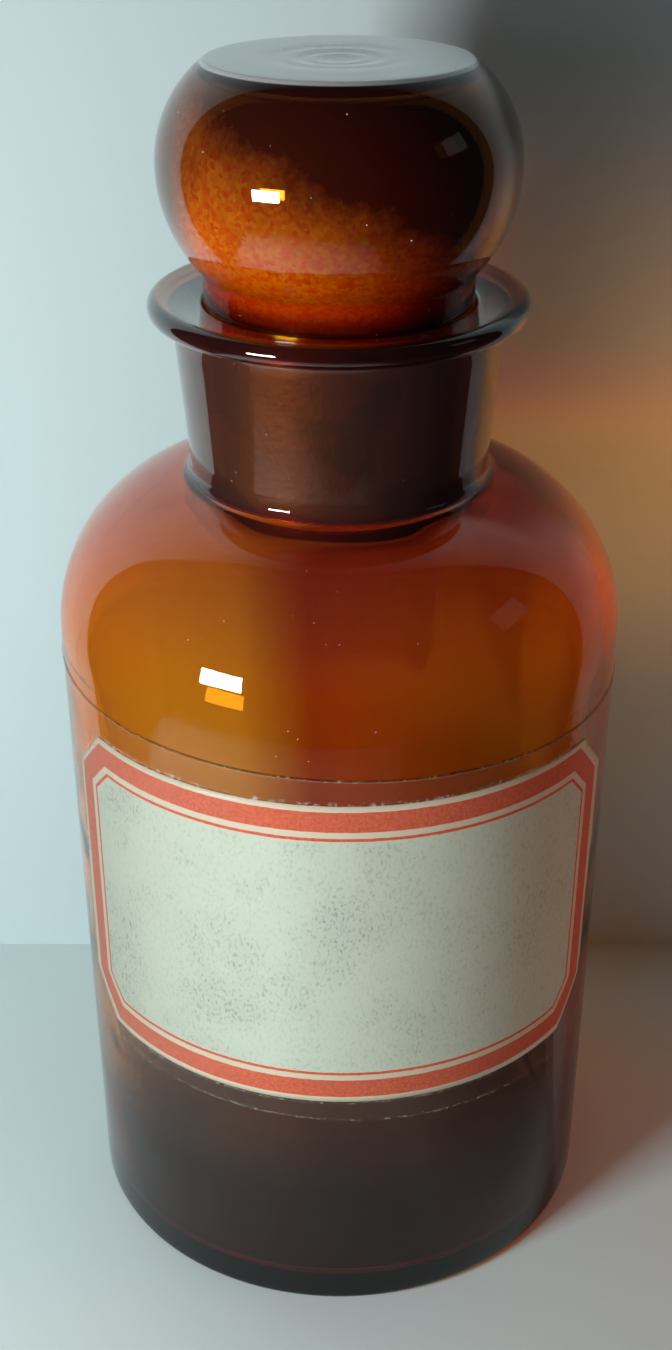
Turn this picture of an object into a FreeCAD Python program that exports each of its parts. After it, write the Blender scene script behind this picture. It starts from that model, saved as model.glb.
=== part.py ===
import FreeCAD, Part
import math
import os
import Sketcher

# Wide-mouth pharmacy bottle of amber glass with a hollow ground-in stopper, a paper label and a clear
# film wound over the label. Millimetres and degrees, +Z up, origin at the centre of the base, label
# towards -Y.

SIZES = {
    # body of the bottle
    "body_diameter": 86.0,
    "body_wall": 3.0,
    "base_thickness": 6.0,
    "push_up": 2.5,
    "standing_ring": 5.0,
    "foot_fillet": 1.6,
    "inner_foot_fillet": 5.0,
    "shoulder_height": 107.0,
    "shoulder_radius": 24.0,
    "shoulder_wall": 3.3,
    # neck, lip and ground bore
    "neck_foot_diameter": 43.6,
    "neck_top_diameter": 47.6,
    "neck_fillet": 1.8,
    "lip_height": 156.8,
    "lip_overhang": 3.4,
    "lip_thickness": 3.2,
    "lip_slope": 10.0,
    "lip_fillet": 1.2,
    "mouth_diameter": 38.6,
    "mouth_fillet": 0.8,
    "bore_fillet": 1.5,
    "ground_taper": 10.0,
    # stopper; the knob's heights count from the top of the lip
    "ground_gap": 0.15,
    "plug_length": 26.0,
    "plug_rim_fillet": 1.2,
    "stopper_wall": 3.0,
    "waist_fillet": 1.5,
    "knob_diameter": 50.2,
    "knob_equator": 17.1,
    "knob_top": 30.6,
    "knob_top_diameter": 36.0,
    "knob_lower_radius": 19.6,
    "knob_edge_fillet": 0.9,
    "knob_inner_fillet": 2.0,
    "dimple_diameter": 12.0,
    "dimple_depth": 0.4,
    # label; its width is measured along the paper
    "label_width": 98.0,
    "label_height": 53.6,
    "label_bottom": 44.2,
    "label_chamfer": 7.0,
    "label_lean": 0.8,
    "label_thickness": 0.2,
    "glue_line": 0.05,
    # clear film
    "film_height": 61.8,
    "film_bottom": 40.2,
    "film_lean": 2.1,
    "film_thickness": 0.1,
    "film_step": 0.8,
}

# Places worked out from the sizes, as expressions of the sheet.
BODY_R = "(Size.body_diameter / 2)"
INNER_R = f"({BODY_R} - Size.body_wall)"
RING_R = f"({BODY_R} - Size.foot_fillet - Size.standing_ring)"
PUSH_R = f"(({RING_R}^2 + Size.push_up^2) / (2 * Size.push_up))"
INNER_BASE_R = f"({PUSH_R} + Size.base_thickness)"
INNER_FOOT_Z = f"(Size.push_up - {PUSH_R} + sqrt({INNER_BASE_R}^2 - {INNER_R}^2))"

NECK_FOOT_R = "(Size.neck_foot_diameter / 2)"
SHOULDER_X = f"({BODY_R} - Size.shoulder_radius)"
NECK_FOOT_Z = f"(Size.shoulder_height + sqrt(Size.shoulder_radius^2 - ({NECK_FOOT_R} - {SHOULDER_X})^2))"
NECK_TOP_R = "(Size.neck_top_diameter / 2)"
LIP_UNDER_Z = "(Size.lip_height - Size.lip_thickness)"
LIP_R = f"({NECK_TOP_R} + Size.lip_overhang)"
RIM_R = "(Size.lip_thickness / 2)"
RIM_X = f"({LIP_R} - {RIM_R})"
RIM_Z = f"(Size.lip_height - {RIM_R})"
DISH_X = f"({RIM_X} - {RIM_R} * sin(Size.lip_slope))"
DISH_Z = f"(Size.lip_height - {RIM_R} * (1 - cos(Size.lip_slope)))"

MOUTH_R = "(Size.mouth_diameter / 2)"
MOUTH_Z = f"({DISH_Z} - ({DISH_X} - {MOUTH_R}) * tan(Size.lip_slope))"
BORE_END_Z = f"({NECK_FOOT_Z} - Size.shoulder_wall)"
BORE_END_R = f"({MOUTH_R} - ({MOUTH_Z} - {BORE_END_Z}) / (2 * Size.ground_taper))"
INNER_SHOULDER_R = (
    f"((({INNER_R} - {BORE_END_R})^2 + ({BORE_END_Z} - Size.shoulder_height)^2)"
    f" / (2 * ({INNER_R} - {BORE_END_R})))"
)

PLUG_R = f"({MOUTH_R} - Size.ground_gap)"
PLUG_END_R = f"({PLUG_R} - Size.plug_length / (2 * Size.ground_taper))"
PLUG_END_Z = f"({MOUTH_Z} - Size.plug_length)"
PLUG_INNER_R = f"({PLUG_R} - Size.stopper_wall)"
PLUG_INNER_END_R = f"({PLUG_END_R} - Size.stopper_wall)"
KNOB_R = "(Size.knob_diameter / 2)"
KNOB_INNER_R = f"({KNOB_R} - Size.stopper_wall)"
EQUATOR_Z = "(Size.lip_height + Size.knob_equator)"
KNOB_TOP_Z = "(Size.lip_height + Size.knob_top)"
KNOB_INNER_TOP_Z = f"({KNOB_TOP_Z} - Size.stopper_wall)"
TOP_EDGE_R = "(Size.knob_top_diameter / 2)"
UPPER_R = (
    f"((({KNOB_R} - {TOP_EDGE_R})^2 + ({KNOB_TOP_Z} - {EQUATOR_Z})^2)"
    f" / (2 * ({KNOB_R} - {TOP_EDGE_R})))"
)
UPPER_X = f"({KNOB_R} - {UPPER_R})"
LOWER_X = f"({KNOB_R} - Size.knob_lower_radius)"
UPPER_INNER_R = f"({UPPER_R} - Size.stopper_wall)"
LOWER_INNER_R = "(Size.knob_lower_radius - Size.stopper_wall)"
TOP_INNER_EDGE_R = f"({UPPER_X} + sqrt({UPPER_INNER_R}^2 - ({KNOB_INNER_TOP_Z} - {EQUATOR_Z})^2))"
WAIST_Z = f"({EQUATOR_Z} - sqrt(Size.knob_lower_radius^2 - ({PLUG_R} - {LOWER_X})^2))"
WAIST_INNER_Z = f"({EQUATOR_Z} - sqrt({LOWER_INNER_R}^2 - ({PLUG_INNER_R} - {LOWER_X})^2))"
DIMPLE_R = "(Size.dimple_diameter / 2)"
DIMPLE_ARC_R = f"(({DIMPLE_R}^2 + Size.dimple_depth^2) / (2 * Size.dimple_depth))"

LABEL_IN_R = f"({BODY_R} + Size.glue_line)"
LABEL_OUT_R = f"({LABEL_IN_R} + Size.label_thickness)"
LABEL_MIDDLE_Z = "(Size.label_bottom + Size.label_height / 2)"
FILM_OVER_LABEL_R = f"({LABEL_OUT_R} + Size.glue_line)"
FILM_INNER_MARGIN = "(Size.film_step - Size.film_thickness)"
DEGREES_PER_ARC = f"(180 / pi / {BODY_R})"

CCW = 1
CW = -1


def make_sheet(doc):
    """The driving sizes, one named cell each."""
    sheet = doc.addObject("Spreadsheet::Sheet", "Size")
    for row, (name, value) in enumerate(SIZES.items(), start=1):
        sheet.set(f"A{row}", name)
        sheet.set(f"B{row}", str(value))
        sheet.setAlias(f"B{row}", name)
    doc.recompute()
    return sheet


def measure(obj, expression):
    """The present value of an expression of the sheet."""
    return float(obj.evalExpression(expression))


def new_sketch(body, name, role):
    """A sketch on one of the body's own origin planes."""
    sketch = body.newObject("Sketcher::SketchObject", name)
    plane = next(feature for feature in body.Origin.OriginFeatures if feature.Role == role)
    sketch.AttachmentSupport = [(plane, "")]
    sketch.MapMode = "FlatFace"
    return sketch


def tie_point(sketch, geometry, end, corner):
    """Tie one end of a stretch to its two expressions; "0" puts it on an axis."""
    root = (-1, 1)
    for kind, axis, expression in (("DistanceX", -2, corner[0]), ("DistanceY", -1, corner[1])):
        if expression == "0":
            sketch.addConstraint(Sketcher.Constraint("PointOnObject", geometry, end, axis))
            continue
        ends = (*root, geometry, end)
        if expression.startswith("-"):
            ends = (geometry, end, *root)
            expression = expression[1:]
        constraint = Sketcher.Constraint(kind, *ends, measure(sketch, expression))
        number = sketch.addConstraint(constraint)
        sketch.setExpression(f"Constraints[{number}]", expression)


def arc_between(start, end, radius, turn):
    """The short arc from start to end that turns left (CCW) or right (CW)."""
    chord = end - start
    rise = math.sqrt(max(radius ** 2 - (chord.Length / 2) ** 2, 0.0))
    left = FreeCAD.Vector(-chord.y, chord.x, 0).normalize()
    centre = (start + end) * 0.5 + left * (turn * rise)
    first, last = (start, end) if turn == CCW else (end, start)
    angles = [math.atan2(point.y - centre.y, point.x - centre.x) for point in (first, last)]
    if angles[1] <= angles[0]:
        angles[1] += 2 * math.pi
    return Part.ArcOfCircle(Part.Circle(centre, FreeCAD.Vector(0, 0, 1), radius), *angles)


def draw_outline(sketch, corners, arcs):
    """A closed outline through corners; arcs gives the radius and turn of the round stretches."""
    points = [FreeCAD.Vector(*(measure(sketch, value) for value in corner), 0) for corner in corners]
    ends = []
    for number, start in enumerate(points):
        finish = points[(number + 1) % len(points)]
        if number in arcs:
            radius, turn = arcs[number]
            curve = arc_between(start, finish, measure(sketch, radius), turn)
            ends.append((1, 2) if turn == CCW else (2, 1))
        else:
            curve = Part.LineSegment(start, finish)
            ends.append((1, 2))
        sketch.addGeometry(curve, False)
    for number in range(len(points)):
        following = (number + 1) % len(points)
        joint = (number, ends[number][1], following, ends[following][0])
        sketch.addConstraint(Sketcher.Constraint("Coincident", *joint))
    for number, corner in enumerate(corners):
        tie_point(sketch, number, ends[number][0], corner)
    for number, (radius, _) in arcs.items():
        index = sketch.addConstraint(Sketcher.Constraint("Radius", number, measure(sketch, radius)))
        sketch.setExpression(f"Constraints[{index}]", radius)


def revolve(body, name, corners, arcs):
    """Turn a half section, drawn in radius and height, round the upright axis."""
    sketch = new_sketch(body, f"{name}_section", "XZ_Plane")
    draw_outline(sketch, corners, arcs)
    turned = body.newObject("PartDesign::Revolution", f"{name}_turned")
    turned.Profile = sketch
    turned.ReferenceAxis = (sketch, ["V_Axis"])
    turned.Angle = 360
    body.Document.recompute()
    return turned


def round_rings(body, name, radius, *rings):
    """Round the circular edges that run through the given (radius, height) places."""
    near = 1e-4
    base = body.Tip
    chosen = []
    for place in rings:
        ring_r, ring_z = (measure(body, value) for value in place)
        for number, edge in enumerate(base.Shape.Edges, start=1):
            if edge.Degenerated or not isinstance(edge.Curve, Part.Circle):
                continue
            centre = FreeCAD.Vector(0, 0, ring_z)
            if abs(edge.Curve.Radius - ring_r) < near and edge.Curve.Center.isEqual(centre, near):
                chosen.append(f"Edge{number}")
    if len(chosen) != len(rings):
        raise RuntimeError(f"{name}: {len(chosen)} of {len(rings)} edges found")
    fillet = body.newObject("PartDesign::Fillet", name)
    fillet.Base = (base, chosen)
    fillet.setExpression("Radius", radius)
    body.Document.recompute()


def make_bottle(doc):
    """Blown body with a pushed-up base, a round shoulder, a flanged lip and a ground bore."""
    body = doc.addObject("PartDesign::Body", "bottle")
    corners = [
        ("0", "Size.push_up"),
        (RING_R, "0"),
        (BODY_R, "0"),
        (BODY_R, "Size.shoulder_height"),
        (NECK_FOOT_R, NECK_FOOT_Z),
        (NECK_TOP_R, LIP_UNDER_Z),
        (RIM_X, LIP_UNDER_Z),
        (LIP_R, RIM_Z),
        (DISH_X, DISH_Z),
        (MOUTH_R, MOUTH_Z),
        (BORE_END_R, BORE_END_Z),
        (INNER_R, "Size.shoulder_height"),
        (INNER_R, INNER_FOOT_Z),
        ("0", "Size.push_up + Size.base_thickness"),
    ]
    arcs = {
        0: (PUSH_R, CW),
        3: ("Size.shoulder_radius", CCW),
        6: (RIM_R, CCW),
        7: (RIM_R, CCW),
        10: (INNER_SHOULDER_R, CW),
        12: (INNER_BASE_R, CCW),
    }
    revolve(body, "bottle", corners, arcs)
    round_rings(body, "foot_round", "Size.foot_fillet", (BODY_R, "0"))
    round_rings(body, "inner_foot_round", "Size.inner_foot_fillet", (INNER_R, INNER_FOOT_Z))
    round_rings(body, "neck_round", "Size.neck_fillet", (NECK_FOOT_R, NECK_FOOT_Z))
    round_rings(body, "lip_round", "Size.lip_fillet", (NECK_TOP_R, LIP_UNDER_Z))
    round_rings(body, "mouth_round", "Size.mouth_fillet", (MOUTH_R, MOUTH_Z))
    round_rings(body, "bore_round", "Size.bore_fillet", (BORE_END_R, BORE_END_Z))
    return body


def make_stopper(doc):
    """Hollow flat-topped knob on a ground plug that is open below."""
    body = doc.addObject("PartDesign::Body", "stopper")
    corners = [
        (PLUG_END_R, PLUG_END_Z),
        (PLUG_R, MOUTH_Z),
        (PLUG_R, WAIST_Z),
        (KNOB_R, EQUATOR_Z),
        (TOP_EDGE_R, KNOB_TOP_Z),
        (DIMPLE_R, KNOB_TOP_Z),
        ("0", f"{KNOB_TOP_Z} - Size.dimple_depth"),
        ("0", KNOB_INNER_TOP_Z),
        (TOP_INNER_EDGE_R, KNOB_INNER_TOP_Z),
        (KNOB_INNER_R, EQUATOR_Z),
        (PLUG_INNER_R, WAIST_INNER_Z),
        (PLUG_INNER_R, MOUTH_Z),
        (PLUG_INNER_END_R, PLUG_END_Z),
    ]
    arcs = {
        2: ("Size.knob_lower_radius", CCW),
        3: (UPPER_R, CCW),
        5: (DIMPLE_ARC_R, CW),
        8: (UPPER_INNER_R, CW),
        9: (LOWER_INNER_R, CW),
    }
    revolve(body, "stopper", corners, arcs)
    plug_rim = ((PLUG_END_R, PLUG_END_Z), (PLUG_INNER_END_R, PLUG_END_Z))
    round_rings(body, "plug_rim_round", "Size.plug_rim_fillet", *plug_rim)
    waist = ((PLUG_R, WAIST_Z), (PLUG_INNER_R, WAIST_INNER_Z))
    round_rings(body, "waist_round", "Size.waist_fillet", *waist)
    round_rings(body, "knob_edge_round", "Size.knob_edge_fillet", (TOP_EDGE_R, KNOB_TOP_Z))
    inner_edge = (TOP_INNER_EDGE_R, KNOB_INNER_TOP_Z)
    round_rings(body, "knob_inner_round", "Size.knob_inner_fillet", inner_edge)
    return body


def make_drum(doc, name, radius):
    """A solid drum round the bottle's straight side, to cut thin skins from."""
    drum = doc.addObject("Part::Cylinder", name)
    drum.setExpression("Radius", radius)
    drum.setExpression("Height", "Size.shoulder_height")
    return drum


def combine(doc, kind, name, base, tool):
    """A boolean of two solids; kind is Cut or Common."""
    result = doc.addObject(f"Part::{kind}", name)
    result.Base = base
    result.Tool = tool
    return result


def make_label_block(doc, name, margin):
    """A block as wide as the label with clipped corners, grown by a margin, reaching out of the front."""
    body = doc.addObject("PartDesign::Body", name)
    sketch = new_sketch(body, f"{name}_outline", "XZ_Plane")
    half_turn = f"((Size.label_width / 2 + {margin}) * {DEGREES_PER_ARC})"
    clip_turn = f"(Size.label_chamfer * {DEGREES_PER_ARC})"
    wide = f"({BODY_R} * sin({half_turn}))"
    narrow = f"({BODY_R} * sin({half_turn} - {clip_turn}))"
    tall = f"(Size.label_height / 2 + {margin})"
    short = f"({tall} - Size.label_chamfer)"
    corners = [
        (f"-{narrow}", f"-{tall}"),
        (narrow, f"-{tall}"),
        (wide, f"-{short}"),
        (wide, short),
        (narrow, tall),
        (f"-{narrow}", tall),
        (f"-{wide}", short),
        (f"-{wide}", f"-{short}"),
    ]
    draw_outline(sketch, corners, {})
    pad = body.newObject("PartDesign::Pad", f"{name}_pad")
    pad.Profile = sketch
    pad.setExpression("Length", "Size.body_diameter")
    body.Placement = FreeCAD.Placement(FreeCAD.Vector(), FreeCAD.Rotation(FreeCAD.Vector(0, 1, 0), 1))
    body.setExpression(".Placement.Base.z", LABEL_MIDDLE_Z)
    body.setExpression(".Placement.Rotation.Angle", "Size.label_lean")
    doc.recompute()
    return body


def make_label(doc):
    """Paper on the front of the body, turned a little in its own plane as it was pasted."""
    paper = combine(doc, "Cut", "label_skin", make_drum(doc, "label_outside", LABEL_OUT_R),
                    make_drum(doc, "label_inside", LABEL_IN_R))
    return combine(doc, "Common", "paper_label", paper, make_label_block(doc, "label_block", "0"))


def make_film(doc):
    """Film wound round the body a little askew, lying on the glass and stepping up over the label."""
    band = doc.addObject("Part::Cylinder", "film_band")
    band.setExpression("Radius", "Size.body_diameter")
    band.setExpression("Height", "Size.film_height")
    band.Placement = FreeCAD.Placement(FreeCAD.Vector(), FreeCAD.Rotation(FreeCAD.Vector(0, 1, 0), 1))
    band.setExpression(".Placement.Base.z", "Size.film_bottom")
    band.setExpression(".Placement.Rotation.Angle", "Size.film_lean")
    skin = combine(doc, "Cut", "film_skin",
                   make_drum(doc, "film_outside", f"({FILM_OVER_LABEL_R} + Size.film_thickness)"),
                   make_drum(doc, "film_inside", LABEL_IN_R))
    blank = combine(doc, "Common", "film_blank", skin, band)
    beyond_glass = combine(doc, "Cut", "film_beyond_glass", make_drum(doc, "film_far", "Size.body_diameter"),
                           make_drum(doc, "film_on_glass", f"({LABEL_IN_R} + Size.film_thickness)"))
    beside_label = combine(doc, "Cut", "film_beside_label", beyond_glass,
                           make_label_block(doc, "film_rise", "Size.film_step"))
    over_label = combine(doc, "Common", "film_over_label",
                         make_drum(doc, "film_on_label", FILM_OVER_LABEL_R),
                         make_label_block(doc, "film_pocket", FILM_INNER_MARGIN))
    trimmed = combine(doc, "Cut", "film_trimmed", blank, beside_label)
    return combine(doc, "Cut", "protective_film", trimmed, over_label)


def check(doc, nodes):
    """Stop unless every object computed and every piece is one valid solid."""
    for obj in doc.Objects:
        if "Invalid" in obj.State or "Error" in obj.State:
            raise RuntimeError(f"{obj.Name} failed: {obj.State}")
    for node in nodes:
        if node.Shape.isNull() or not node.Shape.isValid() or len(node.Shape.Solids) != 1:
            raise RuntimeError(f"{node.Label} isn't one valid solid")


def main():
    doc = FreeCAD.newDocument("amber_bottle")
    make_sheet(doc)
    nodes = [make_bottle(doc), make_stopper(doc), make_label(doc), make_film(doc)]
    doc.recompute()
    check(doc, nodes)
    os.makedirs("parts", exist_ok=True)
    for node in nodes:
        node.Shape.exportStep(f"parts/{node.Label}.step")
        print(f"{node.Label}: {node.Shape.Volume:.1f} mm3")


main()
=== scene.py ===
"""An old amber pharmacy bottle with its hollow ground stopper, a paper label and clear film over it."""

import math

import bpy
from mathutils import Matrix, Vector


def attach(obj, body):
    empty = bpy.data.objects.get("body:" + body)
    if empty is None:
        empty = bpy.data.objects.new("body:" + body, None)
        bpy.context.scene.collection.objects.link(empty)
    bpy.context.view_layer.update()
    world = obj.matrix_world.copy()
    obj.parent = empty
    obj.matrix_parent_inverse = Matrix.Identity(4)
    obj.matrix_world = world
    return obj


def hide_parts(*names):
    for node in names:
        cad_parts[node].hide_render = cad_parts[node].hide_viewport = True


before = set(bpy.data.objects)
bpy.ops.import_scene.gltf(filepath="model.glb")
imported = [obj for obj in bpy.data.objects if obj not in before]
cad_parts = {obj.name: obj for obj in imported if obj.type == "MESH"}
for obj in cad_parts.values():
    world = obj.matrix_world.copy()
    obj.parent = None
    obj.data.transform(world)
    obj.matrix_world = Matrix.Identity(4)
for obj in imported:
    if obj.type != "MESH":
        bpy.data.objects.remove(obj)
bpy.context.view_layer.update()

# Sizes of the pieces, in millimetres and degrees; a pair is a distance from the axis and a height
MM = 0.001
TOUCH = 0.02
MERGE = 0.005
FULL_TURN = 360.0
HALF_TURN = 180.0

# The bottle
BODY_R = 43.0
BODY_INNER_R = 40.0
RING_INNER_R = 36.4
FOOT_ROUND = 1.6
PUSH_UP = 2.5
BASE_TOP = 5.7
PUSH_CENTRE = (0.0, -263.74)
INNER_FOOT_Z = PUSH_CENTRE[1] + math.sqrt((BASE_TOP - PUSH_CENTRE[1]) ** 2 - BODY_INNER_R**2)
INNER_FOOT_ROUND = 3.6
SHOULDER_CENTRE = (19.0, 107.0)
NECK_FOOT = (21.8, 130.84)
NECK_ROUND = 1.8
NECK_TOP = (23.8, 153.6)
LIP_UNDER = (25.6, 153.6)
LIP_ROUND = 1.2
RIM_CENTRE = (25.6, 155.2)
RIM_TURN = 190.0
DISH = (25.32, 156.78)
MOUTH = (19.3, 155.71)
MOUTH_ROUND = 0.8
BORE_END = (17.79, 125.53)
BORE_ROUND = 1.5
INNER_SHOULDER_CENTRE = (19.41, 105.0)

# The stopper
KNOB_TOP_Z = 187.4
DIMPLE_DEPTH = 0.4
TOP_RIPPLES = ((2.2, 187.06), (3.6, 187.2), (4.8, 187.12), (6.6, 187.34), (8.4, 187.28), (10.4, 187.4))
TOP_EDGE = (18.0, KNOB_TOP_Z)
TOP_EDGE_ROUND = 0.9
UPPER_CENTRE = (8.716, 173.9)
LOWER_CENTRE = (5.5, 173.9)
KNOB_R = 25.1
WAIST = (19.15, 159.83)
WAIST_ROUND = 1.5
PLUG_TOP = (19.15, 155.71)
PLUG_END = (17.85, 129.71)
PLUG_ROUND = 1.2
PLUG_INNER_END = (13.0, 129.71)
PLUG_INNER_TOP = (14.0, 155.71)
WAIST_INNER = (14.0, 159.64)
TOP_INNER_EDGE = (17.0, 184.4)
TOP_INNER_ROUND = 2.0
# A point is on the inner wall if it is at most this far outside the plug's hollow, or in the knob if it
# is at least this far under the knob's outside
PLUG_INNER_SLACK = 0.2
KNOB_WALL_INSIDE = 1.0

# The label and the film; a sheet is made longer by its spare and then cut
GLUE = 0.05
LABEL_THICKNESS = 0.2
LABEL_R = BODY_R + GLUE
LABEL_OUTER_R = LABEL_R + LABEL_THICKNESS
LABEL_MIDDLE_Z = 71.0
LABEL_HALF_WIDTH = 49.0
LABEL_HALF_HEIGHT = 26.8
LABEL_CHAMFER = 7.0
LABEL_LEAN = 0.8
LABEL_SPARE = 2.0
FILM_THICKNESS = 0.1
FILM_R = BODY_R + GLUE
FILM_OVER_LABEL_R = LABEL_OUTER_R + GLUE
FILM_BOTTOM_Z = 40.2
FILM_HEIGHT = 61.8
FILM_LEAN = 2.1
FILM_SPARE = 1.0
# Outside the label's edge: where the film leaves the glass, where it has come up, and what is raised
FILM_TENT = 0.8
FILM_FOLD = 0.05
FILM_RAISED = 0.06

# A Mix node's sockets for colours: the two that go in and the one that comes out
FIRST = 6
SECOND = 7
MIXED = 2

# The colour that light keeps in the amber glass, how dense it is, per metre, and its polished gloss
AMBER = (0.952, 0.725, 0.04, 1)
AMBER_DENSITY = 700.0
GLASS_IOR = 1.52
GLOSS_ROUGHNESS = 0.02
# Scales of the glass's surface, in millimetres. Real grit is finer than a tenth of a millimetre, and
# its grain is drawn coarser so that it shows.
GROUND_FADE = 1.5
GRAIN = 0.8
GRAIN_DEPTH = 0.07
WAVE = 16.0
WAVE_DEPTH = 0.25
DUST_CELL = 3.0
DUST_R = 0.13

# The bottle's ground bore: its radii and heights, how much it hides, how dull it is, its blotches' size
BORE_RADII = (20.7, 20.3)
BORE_HEIGHTS = (126.5, 155.0)
BORE_COVER = 0.92
BORE_ROUGHNESS = 0.45
FROST_BLOTCH = 11.0
# Heights between which painted shade darkens the bottle's glass, from none to full, and ends again below
# the neck
FOOT_SHADE = (41.0, 23.0)
NECK_SHADE_HAZE_COAT = (114.0, 126.0)
NECK_SHADE_HAZE_COAT_SHARE = 0.5
LIP_SHADE_AND_COAT = (152.5, 154.5)
SHOULDER_END = (131.5, 129.5)
# From left to right the painted shade round the shoulder's top grows, by these factors
ACROSS = (-40.0, 30.0)
SHADE_ACROSS = (0.5, 1.4)
# How much of the glass a speck of dust and the haze of handling hide
SPECK_COVER = 0.5
HAZE_COVER = 0.02
# What the bottle's wall lets in of the lamps' light: at the left, at the right, above and at the foot
CLEAR = (1, 1, 1, 1)
LIT_LEFT = (1.05, 1.05, 1, 1)
LIT_RIGHT = (0.36, 0.36, 0.45, 1)
LIT_ABOVE = (0.9, 1.3, 1, 1)
LIT_ABOVE_HEIGHTS = (112.0, 122.0)
LIT_FOOT = (0.6, 0.42, 0.4, 1)

# The stopper's ground plug, its darker waist and its dusty top, by radius and height
PLUG_RADII = (16.8, 17.2)
PLUG_HEIGHTS = (129.0, 156.5)
PLUG_ROUGHNESS = 0.35
DARKER_WAIST = (163.0, 159.0)
DUSTY_TOP = (186.9, 187.05)
DUSTY_TOP_COVER = 0.6
DUSTY_TOP_ROUGHNESS = 0.04
# The residue in the knob: how its painted pool of light slopes to one side and where it ends, and its
# clouds and crumbs
LIT_PATCH_SLOPE = 0.46
LIT_PATCH_LEVEL = (180.0, 165.5)
LIT_PATCH_SIDE = (-20.5, -17.0)
LIT_PATCH_FLOOR = (155.0, 158.0)
RESIDUE_COVER = 0.92
CLOUD = 4.0
CLOUD_RISE = 9.0
CRUMB = 0.55
# What the stopper's wall lets in of the lamps' light, in the knob and under it, and past the residue
LIT_KNOB = (0.17, 0.16, 0.15, 1)
LIT_UNDERSIDE = (0.28, 0.26, 0.2, 1)
LIT_UNDERSIDE_HEIGHTS = (172.0, 162.0)
PAST_RESIDUE = (0.1, 0.1, 0.1, 1)

# What the label's border prints, from the edge inwards: where each band starts and whether it is inked
BORDER = ((1.0, 1.0), (4.3, 0.0), (5.35, 1.0), (5.85, 0.0))
BORDER_RANGE = 10.0
INK_WOBBLE = 1.2
INK_WOBBLE_DEPTH = 0.16
# The paper's field inside the border, and its wear: sizes of smudges, flecks and specks, and where from
# right to left it is thumbed, and where painted shade greys it. Its fibres are drawn coarser than they
# are, so that they show.
FIELD = (5.9, 6.1)
STAIN = 13.0
FLECK = (0.45, 0.45, 0.8)
FLECK_TURN = 20
PEPPER = 1.6
THUMBED = (20.0, -25.0)
LEFT_SHADE = (-10.0, -38.0)
SPOTS_ALONE = 0.22
SPOTS_IN_SMUDGE = 0.7
SMUDGE_ALONE = 0.18
FIBRE = 0.45
FIBRE_DEPTH = 0.02

# The film's dirt, and its painted highlight at the label's edge: widths of the lines at its edges and at
# the label's, and how much each of them covers
FILM_FRONT = (5.0, -5.0)
TOP_LINE = (0.5, 0.3)
LOW_LINE = (0.45, 0.2)
TENT_HIGHLIGHT_OUTER = (-0.75, -0.35)
TENT_HIGHLIGHT_INNER = (0.1, -0.1)
FILM_GRIT = 0.7
TOP_LINE_LEAST = 0.35
TOP_LINE_GRIT = 0.45
LOW_LINE_GRIT = 0.25
FILM_HAZE = 0.008

# Where the table top and the backdrop board stand and end, and over what they fade there, in metres
STUDIO_SIZE = 6.0
FLOOR_Z = -0.0002
BOARD_Y = 0.057
BOARD_MIDDLE_Z = 2.9
BOARD_LEFT = -0.185
BOARD_RIGHT = 0.25
CUT_EDGE = 0.002
TABLE_EDGE = -0.235
TABLE_FRONT = -0.06
TABLE_FRONT_FADE = 0.22
TABLE_LEFT = -0.15
TABLE_LEFT_FADE = 0.02
TABLE_SKEW = 0.727
TABLE_RIGHT = 0.03
TABLE_RIGHT_FADE = 0.06
# The pale room that the studio fades to, from how far away, and how much of it shows through glass
ROOM = "#dfe8ee"
ROOM_STRENGTH = 0.8
FAR = (0.35, 0.8)
FAR_THROUGH_GLASS = 0.25


def degrees_at(centre, place):
    """The direction from a centre to a place in the outline's plane, in degrees."""
    return math.degrees(math.atan2(place[1] - centre[1], place[0] - centre[0]))


def start_outline(name, place):
    """A new piece with a single point, where its outline starts in the x-z plane."""
    if bpy.context.mode != "OBJECT":
        bpy.ops.object.mode_set(mode="OBJECT")
    bpy.ops.object.select_all(action="DESELECT")
    bpy.ops.mesh.primitive_plane_add(size=MM)
    piece = bpy.context.object
    piece.name = name
    piece.data.name = name
    bpy.ops.object.mode_set(mode="EDIT")
    bpy.ops.mesh.select_mode(type="VERT")
    bpy.ops.mesh.select_all(action="SELECT")
    bpy.ops.mesh.merge(type="CENTER")
    bpy.ops.transform.translate(value=(place[0] * MM, 0, place[1] * MM))
    return piece


def draw_line(start, end, runs=1):
    """Extrudes the outline's last point along a straight line, in equal runs."""
    step = ((end[0] - start[0]) / runs * MM, 0, (end[1] - start[1]) / runs * MM)
    for _ in range(runs):
        bpy.ops.mesh.extrude_region_move(TRANSFORM_OT_translate={"value": step})


def draw_arc(centre, turn, steps):
    """Spins the outline's last point round a centre; a positive turn goes from +x towards +z."""
    bpy.ops.mesh.spin(
        steps=steps,
        angle=math.radians(turn),
        center=(centre[0] * MM, 0, centre[1] * MM),
        axis=(0, 1, 0),
    )


def pick(piece, wanted):
    """Selects the points of a piece that wanted(x, y, z), in millimetres, agrees to."""
    bpy.ops.mesh.select_all(action="DESELECT")
    bpy.ops.object.mode_set(mode="OBJECT")
    for point in piece.data.vertices:
        point.select = wanted(*(point.co / MM))
    bpy.ops.object.mode_set(mode="EDIT")


def round_corner(piece, place, radius, steps=6):
    """Bevels the corner of an outline at a place to a radius."""
    pick(piece, lambda x, y, z: math.dist((x, z), place) < TOUCH)
    bpy.ops.object.mode_set(mode="OBJECT")
    points = piece.data.vertices
    corner = next(point for point in points if point.select)
    ends = [edge.vertices for edge in piece.data.edges if corner.index in edge.vertices]
    sides = [points[sum(pair) - corner.index].co - corner.co for pair in ends]
    half_angle = sides[0].angle(sides[1]) / 2
    bpy.ops.object.mode_set(mode="EDIT")
    bpy.ops.mesh.bevel(
        affect="VERTICES",
        offset=radius * MM / math.tan(half_angle),
        segments=steps,
        profile=0.5,
    )


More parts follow.
